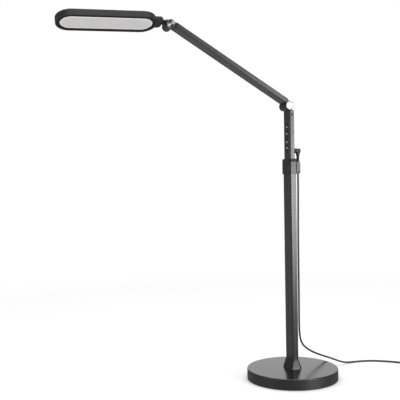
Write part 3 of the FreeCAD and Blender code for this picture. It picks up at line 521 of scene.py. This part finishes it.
def paint_nodes():
    """One material for every CAD node, by what it is made of."""
    foot, up, sideways = Vector((0, 0, 0)), Vector((0, 0, 1)), Vector((0, 1, 0))
    finishes = {
        gloss_paint("base_paint"): ["base_cover"],
        extrusion("mast_profile", foot, up, sideways, 0.010, 0.022, 0.8): ["lower_mast", "upper_mast"],
        # the arm has the mast's black anodise, but its colour is made lighter as painted sheen: the
        # floor's reflection on its underside
        extrusion("arm_profile_painted_sheen", ELBOW, ARM_ALONG, -sideways, 0.032, 0.056, 0.5): ["arm_tube"],
        plain("cast_paint", grey(0.011), grey(0.015), 0.34, 900.0): [
            "foot_socket", "collar_body", "elbow_knuckle", "arm_lower_fork", "arm_upper_fork",
            "neck_knuckle", "neck_bracket", "elbow_cap_far", "tilt_cap_far",
        ],
        plain("head_paint", grey(0.022), grey(0.027), 0.40, 1500.0, 0.4): ["head_shell"],
        plain("bezel_plastic", grey(0.006), grey(0.009), 0.5, 1800.0, 0.3): ["head_bezel"],
        plain("lever_plastic", grey(0.012), grey(0.017), 0.32, 1300.0): ["clamp_lever"],
        plain("moulded_plastic", grey(0.016), grey(0.024), 0.38, 1500.0): [
            "cord_gland", "gland_nut", "plug_body",
        ],
        plain("touch_glass", grey(0.008), grey(0.011), 0.16, 600.0, strength=0.05): ["touch_panel"],
        plain("pale_print", grey(0.88), grey(0.93), 0.5, 2400.0): ["touch_marks"],
        plain("boot_rubber", grey(0.018), grey(0.026), 0.55, 1600.0, 0.35): ["cord_boot"],
        plain("pad_rubber", grey(0.016), grey(0.026), 0.75, 500.0, 0.3, depth=0.0002, strength=0.5): [
            "base_pad",
        ],
        plain(
            "cast_iron", (0.075, 0.07, 0.066), (0.12, 0.115, 0.11), 0.6, 380.0,
            metallic=0.6, depth=0.0003, strength=0.6,
        ): ["base_weight"],
        plain("nylon", (0.05, 0.05, 0.05), (0.07, 0.07, 0.068), 0.42, 1100.0): [
            "collar_liner", "clamp_pad", "mast_guide", "elbow_washers", "tilt_washers", "swivel_washer",
        ],
        plain("lead_pvc", grey(0.02), grey(0.03), 0.45, 900.0): ["mast_lead", "arm_lead"],
        plain("white_sheet", (0.82, 0.82, 0.8), (0.9, 0.9, 0.88), 0.6, 700.0): ["reflector"],
        plain("phosphor", (0.78, 0.62, 0.2), (0.88, 0.74, 0.3), 0.35, 1400.0): ["led_chips"],
        circuit("circuit_board"): ["touch_board", "led_board"],
        steel_finish("black_steel", 0.05, 0.4): ["collar_screws", "lever_pin", "knuckle_screws"],
        steel_finish("zinc_steel", 0.35, 0.34): [
            "base_bolt", "base_washer", "mast_base_block", "elbow_axle", "elbow_nut",
            "tilt_axle", "tilt_nut", "swivel_nut", "head_screws",
        ],
        steel_finish("nickel_brass", 0.72, 0.2): ["plug_pins"],
        turned_metal("turned_elbow", "elbow_cap_near"): ["elbow_cap_near"],
        turned_metal("turned_tilt", "tilt_cap_near"): ["tilt_cap_near"],
        clear_acrylic("clear_acrylic"): ["light_guide"],
        opal("opal_acrylic"): ["diffuser"],
    }
    painted = [node for nodes in finishes.values() for node in nodes]
    for material, nodes in finishes.items():
        for node in nodes:
            paint(node, material)
    missing = sorted(set(NODES) - set(painted) - set(CORD_SOLIDS) - {"cord_tie"})
    if missing:
        raise ValueError(f"no material for {missing}")


# ---- cord ----

MM = 0.001
CORD_ROUTE = [
    (31.2, 9.0, 612.0),
    (31.2, 9.0, 560.0),
    (30.2, 9.0, 488.0),
    (29.2, 9.0, 412.0),
    (28.8, 9.0, 338.0),
    (28.8, 9.0, 272.0),
    (28.7, 9.0, 212.0),
    (28.2, 9.0, 165.0),
    (29.0, 9.6, 128.0),
    (35.0, 12.4, 98.0),
    (53.5, 18.8, 78.5),
    (80.0, 28.0, 62.0),
    (112.0, 39.5, 47.5),
    (148.0, 52.5, 33.0),
    (184.0, 65.5, 17.5),
    (215.0, 75.5, 5.0),
    (249.0, 80.5, 2.9),
    (283.0, 78.0, 2.9),
    (316.0, 67.0, 2.9),
    (346.0, 47.0, 2.9),
    (373.0, 21.0, 2.9),
    (397.0, -7.0, 2.9),
    (417.0, -33.0, 2.9),
]
TAIL_ROUTE = [
    (427.5, -99.5, 8.4),
    (416.5, -109.5, 7.6),
    (400.0, -114.0, 7.0),
]
COIL_PLACES = [  # each turn's radius and height
    (0.0322, 0.0029),
    (0.0264, 0.0029),
    (0.0268, 0.0087),
    (0.0325, 0.0087),
    (0.0345, 0.0087),
]
COIL_START, COIL_TURNS = math.radians(22), 4.144
COIL_STEPS = 16  # points to a turn
STRAP_LIFT = 0.0011  # the turns rise by this much where the strap passes under them
STRAP_X = (0.0236, 0.0354)  # the strap's inner and outer reach from the coil's middle
STRAP_Z = (0.0012, 0.0125)  # its foot and its top, inside the webbing
STRAP_THICK, STRAP_HALF_WIDTH = 0.0009, 0.0045
STRAP_ROUNDNESS = 0.55  # 1 gives an ellipse, and less gives squarer corners


def nurbs_line(points, name):
    """The points of a smooth line whose control points are given, in order."""
    curve = bpy.data.curves.new(name, "CURVE")
    curve.dimensions = "3D"
    curve.resolution_u = 10
    spline = curve.splines.new("NURBS")
    spline.points.add(len(points) - 1)
    for target, point in zip(spline.points, points):
        target.co = (*point, 1.0)
    spline.order_u = 3
    spline.use_endpoint_u = True
    holder = bpy.data.objects.new(name, curve)
    bpy.context.scene.collection.objects.link(holder)
    line = bpy.data.meshes.new_from_object(holder)
    found = [v.co.copy() for v in line.vertices]
    bpy.data.objects.remove(holder)
    bpy.data.meshes.remove(line)
    if (found[0] - Vector(points[0])).length > (found[-1] - Vector(points[0])).length:
        found.reverse()
    return found


def sweep(name, line, radius, sides=14):
    """A round tube, closed at both ends, whose ring centres are the points of a line."""
    body = bmesh.new()
    angles = [2 * math.pi * n / sides for n in range(sides)]
    side = Vector((0, 1, 0))
    rings = []
    for k, centre in enumerate(line):
        ahead = line[min(k + 1, len(line) - 1)] - line[max(k - 1, 0)]
        ahead.normalize()
        side = (side - ahead * side.dot(ahead)).normalized()
        other = ahead.cross(side)
        spokes = [(side * math.cos(a) + other * math.sin(a)) * radius for a in angles]
        rings.append([body.verts.new(centre + spoke) for spoke in spokes])
    for lower, upper in zip(rings, rings[1:]):
        for n in range(sides):
            m = (n + 1) % sides
            body.faces.new((lower[n], lower[m], upper[m], upper[n]))
    body.faces.new(reversed(rings[0]))
    body.faces.new(rings[-1])
    bmesh.ops.recalc_face_normals(body, faces=body.faces)
    mesh = bpy.data.meshes.new(name)
    body.to_mesh(mesh)
    body.free()
    for face in mesh.polygons:
        face.use_smooth = True
    return link(name, mesh)


def coil_points(centre):
    """The stored coil: each turn keeps its place, and crosses to the next place in its last quarter."""
    points = []
    for k in range(int(COIL_TURNS * COIL_STEPS) + 1):
        here, share = divmod(k / COIL_STEPS, 1.0)
        share = min(max((share - 0.75) / 0.25, 0.0), 1.0)
        r0, z0 = COIL_PLACES[int(here)]
        r1, z1 = COIL_PLACES[min(int(here) + 1, len(COIL_PLACES) - 1)]
        radius, height = r0 + (r1 - r0) * share, z0 + (z1 - z0) * share
        angle = COIL_START - 2 * math.pi * k / COIL_STEPS
        height += STRAP_LIFT * max(0.0, -math.cos(angle)) ** 6
        points.append((centre.x + radius * math.cos(angle), centre.y + radius * math.sin(angle), height))
    return points


def add_strap():
    """The strap round the turns on the coil's -X side: a band with a doubled end on top."""
    low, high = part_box("cord_coil")
    centre = (low + high) / 2
    (inner_x, outer_x), (foot, top) = STRAP_X, STRAP_Z
    body = bmesh.new()
    middle_x, middle_z = (inner_x + outer_x) / 2, (foot + top) / 2
    half_x, half_z = (outer_x - inner_x) / 2, (top - foot) / 2

    def loop_point(angle, offset):
        """The point of the strap's rounded square at an angle, moved outwards."""
        side, rise = math.cos(angle), math.sin(angle)
        x = math.copysign(abs(side) ** STRAP_ROUNDNESS, side) * (half_x + offset)
        z = math.copysign(abs(rise) ** STRAP_ROUNDNESS, rise) * (half_z + offset)
        return Vector((centre.x - middle_x - x, 0, middle_z + z))

    def band(first, last, inside, outside, half_width, steps):
        """One length of webbing between two angles."""
        rows = []
        for k in range(steps + 1):
            angle = math.radians(first + (last - first) * k / steps)
            a, b = loop_point(angle, inside), loop_point(angle, outside)
            y0, y1 = centre.y - half_width, centre.y + half_width
            corners = ((a, y0), (b, y0), (b, y1), (a, y1))
            rows.append([body.verts.new((p.x, y, max(p.z, 0.0002))) for p, y in corners])
        for lower, upper in zip(rows, rows[1:]):
            for n in range(4):
                m = (n + 1) % 4
                body.faces.new((lower[n], lower[m], upper[m], upper[n]))
        body.faces.new(reversed(rows[0]))
        body.faces.new(rows[-1])

    band(0.0, 359.0, 0.0, STRAP_THICK, STRAP_HALF_WIDTH, 96)
    band(35.0, 165.0, STRAP_THICK, 2 * STRAP_THICK, STRAP_HALF_WIDTH * 0.92, 40)
    bmesh.ops.recalc_face_normals(body, faces=body.faces)
    mesh = bpy.data.meshes.new("coil_strap")
    body.to_mesh(mesh)
    body.free()
    strap = link("coil_strap", mesh)
    paint(strap, woven("strap_weave"))
    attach(strap, "stand")
    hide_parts("cord_tie")
    return strap


def add_cord(strap):
    """The whole cord: down from the boot, out over the floor, round the coil and into the plug."""
    route = [tuple(MM * c for c in p) for p in CORD_ROUTE]
    tail = [tuple(MM * c for c in p) for p in TAIL_ROUTE]
    low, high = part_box("cord_coil")
    coil = coil_points((low + high) / 2)
    line = nurbs_line(route + coil + tail, "cord_line")
    made = sweep("power_cord", line, CORD_D / 2)
    paint(made, plain("cord_pvc", (0.035, 0.035, 0.037), (0.05, 0.05, 0.052), 0.42, 900.0))
    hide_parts(*CORD_SOLIDS)
    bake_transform(made)


add_camera()
add_studio()
add_floor()
paint_nodes()
add_cord(add_strap())
